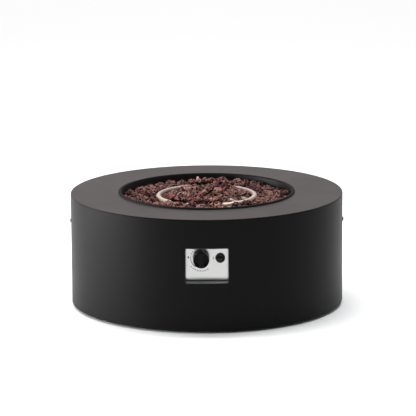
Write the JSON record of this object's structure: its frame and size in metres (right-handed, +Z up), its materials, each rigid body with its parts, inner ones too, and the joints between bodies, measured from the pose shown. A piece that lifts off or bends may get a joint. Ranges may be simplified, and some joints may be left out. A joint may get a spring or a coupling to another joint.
{
  "type": "propane fire pit",
  "caption": "Round low propane fire pit: black steel drum, flat top ring, sunken bowl of lava rock with a ring burner, and a recessed panel with gas knob and igniter button.",
  "frame": {"origin": "on the ground under the middle of the drum", "axes": "+Z up along the drum's axis, the controls face -Y, +X to the right of someone facing the controls"},
  "size_m": [0.8214, 0.8175, 0.3476],
  "materials": {
    "coated_steel": "satin black powder coat",
    "bowl_coat": "matt heat-proof black coat",
    "stainless": "brushed stainless steel",
    "heated_steel": "stainless steel, satin",
    "zinc_steel": "zinc-plated steel",
    "dark_fastener": "black oxide",
    "brass": "machined brass",
    "aluminium": "drawn aluminium",
    "spring_steel": "bright spring wire",
    "knob_plastic": "satin black moulded plastic",
    "button_plastic": "gloss black moulded plastic",
    "rubber": "black rubber",
    "lead_sleeve": "silicone sleeve",
    "copper": "drawn copper",
    "ceramic": "glazed white ceramic",
    "cell_wrap": "plain printed steel can",
    "lava": "porous red-brown lava rock"
  },
  "bodies": {
    "root": {"drum_shell": "coated_steel", "top_ring": "coated_steel", "control_box": "coated_steel", "fire_bowl": "bowl_coat", "burner_ring": "heated_steel", "igniter_hood": "stainless", "sensor_bracket": "stainless", "control_panel": "stainless", "thermocouple": "stainless", "electrode_rod": "stainless", "burner_riser": "zinc_steel", "riser_nuts": "zinc_steel", "bowl_rail": "zinc_steel", "heat_shield": "zinc_steel", "shield_standoffs": "zinc_steel", "shield_screws": "zinc_steel", "hood_screws": "zinc_steel", "panel_screws": "zinc_steel", "valve_screws": "zinc_steel", "foot_screws": "zinc_steel", "foot_nuts": "zinc_steel", "side_bolt_nuts": "zinc_steel", "side_bolts": "dark_fastener", "gas_jet": "brass", "tube_nuts": "brass", "gas_valve": "brass", "inlet_fitting": "brass", "air_mixer": "aluminium", "gas_tube": "aluminium", "stem_spring": "spring_steel", "button_spring": "spring_steel", "igniter_housing": "knob_plastic", "igniter_nut": "knob_plastic", "igniter_cap": "button_plastic", "feet": "rubber", "hose_trim": "rubber", "igniter_lead": "lead_sleeve", "thermocouple_lead": "copper", "electrode": "ceramic", "battery": "cell_wrap", "lava_fill": "lava", "lava_rocks": "lava"},
    "plunger": {"valve_plunger": "brass"},
    "knob": {"control_knob": "knob_plastic", "valve_stem": "zinc_steel"},
    "button": {"igniter_button": "button_plastic"}
  },
  "joints": [
    {"name": "knob_push", "type": "slide", "parent": "root", "child": "plunger", "axis": [0, 1, 0], "range_m": [0, 0.0035], "stiffness_N_per_m": 900, "springref_m": -0.006, "deforming": ["stem_spring"]},
    {"name": "knob_turn", "type": "hinge", "parent": "plunger", "child": "knob", "pos_m": [-0.0166, -0.3703, 0.217], "axis": [0, -1, 0], "range_deg": [0, 180]},
    {"name": "igniter_push", "type": "slide", "parent": "root", "child": "button", "axis": [0, 1, 0], "range_m": [0, 0.004], "stiffness_N_per_m": 700, "springref_m": -0.006, "deforming": ["button_spring"]}
  ]
}
